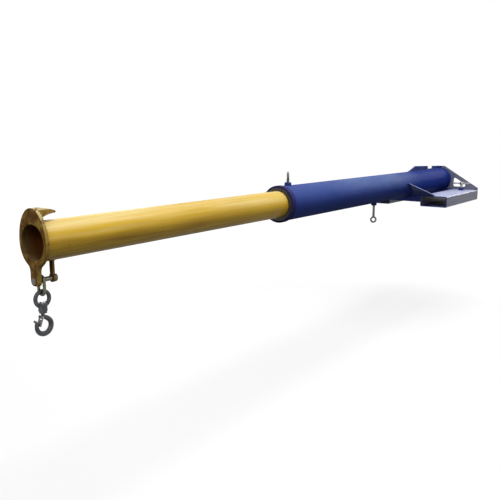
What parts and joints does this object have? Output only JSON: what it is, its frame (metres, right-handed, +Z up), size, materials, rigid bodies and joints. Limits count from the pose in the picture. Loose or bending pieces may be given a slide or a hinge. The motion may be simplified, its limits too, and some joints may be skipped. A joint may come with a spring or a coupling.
{
  "type": "forklift jib boom",
  "caption": "Telescoping round jib boom on a two-pocket fork frame, locked by ring-handled screws, with a swivel hook hung from its tip plate.",
  "frame": {"origin": "midway between the fork pockets, at their rear mouths, on the top face of the forks", "axes": "+X from the truck along the boom to the hook, +Y to the driver's left, +Z up"},
  "size_m": [3.6045, 0.58, 0.4533],
  "materials": {
    "blue_paint": "gloss blue paint over welded steel, with worn edges and dust",
    "dark_blue_paint": "dark, scuffed blue-black paint",
    "black_nylon": "matt black nylon",
    "yellow_paint": "gloss yellow paint with length-wise rubbing marks",
    "worn_yellow_paint": "yellow paint worn to brown primer and rust",
    "zinc_steel": "dull zinc plate",
    "shoe_brass": "plain turned brass",
    "turned_steel": "turned steel, oiled",
    "olive_chain_steel": "yellow-passivated chain steel",
    "forged_steel": "dark forged steel, rubbed bright on its edges",
    "latch_steel": "pressed steel"
  },
  "bodies": {
    "base": {"outer_tube": "blue_paint", "mouth_collar": "dark_blue_paint", "mouth_bush": "black_nylon", "mouth_screw_boss": "blue_paint", "belly_screw_boss": "blue_paint", "fork_pocket_left": "blue_paint", "fork_pocket_right": "blue_paint", "front_gusset_left": "blue_paint", "front_gusset_right": "blue_paint", "rear_plate": "blue_paint", "rear_tie": "blue_paint", "front_tie": "blue_paint", "ridge_rib": "blue_paint", "clamp_nuts": "blue_paint"},
    "boom": {"inner_tube": "yellow_paint", "tail_ring": "turned_steel", "tail_set_screws": "zinc_steel", "tip_flange": "worn_yellow_paint", "tip_hood": "worn_yellow_paint", "tip_rear_lug": "worn_yellow_paint", "hook_pin": "zinc_steel", "hook_pin_nut": "zinc_steel"},
    "mouth_shoe": {"mouth_screw_shoe": "shoe_brass"},
    "mouth_screw": {"mouth_eye_screw": "zinc_steel"},
    "belly_shoe": {"belly_screw_shoe": "shoe_brass"},
    "belly_screw": {"belly_eye_screw": "zinc_steel"},
    "clamp_foot_left": {"clamp_foot_left": "zinc_steel"},
    "clamp_screw_left": {"clamp_screw_left": "zinc_steel", "tommy_bar_left": "zinc_steel"},
    "clamp_foot_right": {"clamp_foot_right": "zinc_steel"},
    "clamp_screw_right": {"clamp_screw_right": "zinc_steel", "tommy_bar_right": "zinc_steel"},
    "link": {"top_link": "olive_chain_steel"},
    "eye": {"swivel_eye": "forged_steel"},
    "hook": {"hook": "forged_steel", "shank_button": "turned_steel", "latch_pin": "zinc_steel", "latch_spring": "zinc_steel"},
    "latch": {"hook_latch": "latch_steel"}
  },
  "joints": [
    {"name": "boom_slide", "type": "slide", "parent": "base", "child": "boom", "axis": [1, 0, 0], "range_m": [-0.745, 0.35]},
    {"name": "mouth_screw_feed", "type": "slide", "parent": "base", "child": "mouth_shoe", "axis": [0, 0, 1], "range_m": [0, 0.004]},
    {"name": "mouth_screw_turn", "type": "hinge", "parent": "mouth_shoe", "child": "mouth_screw", "pos_m": [2.173, 0, 0.1593], "axis": [0, 0, 1], "range_deg": [0, 720]},
    {"name": "belly_screw_feed", "type": "slide", "parent": "base", "child": "belly_shoe", "axis": [0, 0, -1], "range_m": [0, 0.004]},
    {"name": "belly_screw_turn", "type": "hinge", "parent": "belly_shoe", "child": "belly_screw", "pos_m": [1.185, 0, -0.009], "axis": [0, 0, -1], "range_deg": [0, 720]},
    {"name": "clamp_screw_left_feed", "type": "slide", "parent": "base", "child": "clamp_foot_left", "axis": [0, 0, -1], "range_m": [0, 0.016]},
    {"name": "clamp_screw_left_turn", "type": "hinge", "parent": "clamp_foot_left", "child": "clamp_screw_left", "pos_m": [0.11, 0.2, 0.006], "axis": [0, 0, -1], "range_deg": [0, 1440]},
    {"name": "clamp_screw_right_feed", "type": "slide", "parent": "base", "child": "clamp_foot_right", "axis": [0, 0, -1], "range_m": [0, 0.016]},
    {"name": "clamp_screw_right_turn", "type": "hinge", "parent": "clamp_foot_right", "child": "clamp_screw_right", "pos_m": [0.11, -0.2, 0.006], "axis": [0, 0, -1], "range_deg": [0, 1440]},
    {"name": "link_swing", "type": "hinge", "parent": "boom", "child": "link", "pos_m": [3.57, 0, -0.04485], "axis": [1, 0, 0], "range_deg": [-75, 75]},
    {"name": "eye_swing", "type": "hinge", "parent": "link", "child": "eye", "pos_m": [3.57, 0, -0.09155], "axis": [0, 1, 0], "range_deg": [-60, 60]},
    {"name": "hook_swivel", "type": "hinge", "parent": "eye", "child": "hook", "pos_m": [3.57, 0, -0.15015], "axis": [0, 0, 1], "continuous": true},
    {"name": "latch_hinge", "type": "hinge", "parent": "hook", "child": "latch", "pos_m": [3.5775, 0, -0.16215], "axis": [0, 1, 0], "range_deg": [0, 50], "stiffness_Nm_per_rad": 0.05, "springref_deg": -11.46}
  ],
  "couplings": [
    {"joint": "mouth_screw_turn", "follows": "mouth_screw_feed", "rad_per_m": 3141.3},
    {"joint": "belly_screw_turn", "follows": "belly_screw_feed", "rad_per_m": 3141.3},
    {"joint": "clamp_screw_left_turn", "follows": "clamp_screw_left_feed", "rad_per_m": 1570.6},
    {"joint": "clamp_screw_right_turn", "follows": "clamp_screw_right_feed", "rad_per_m": 1570.6}
  ]
}
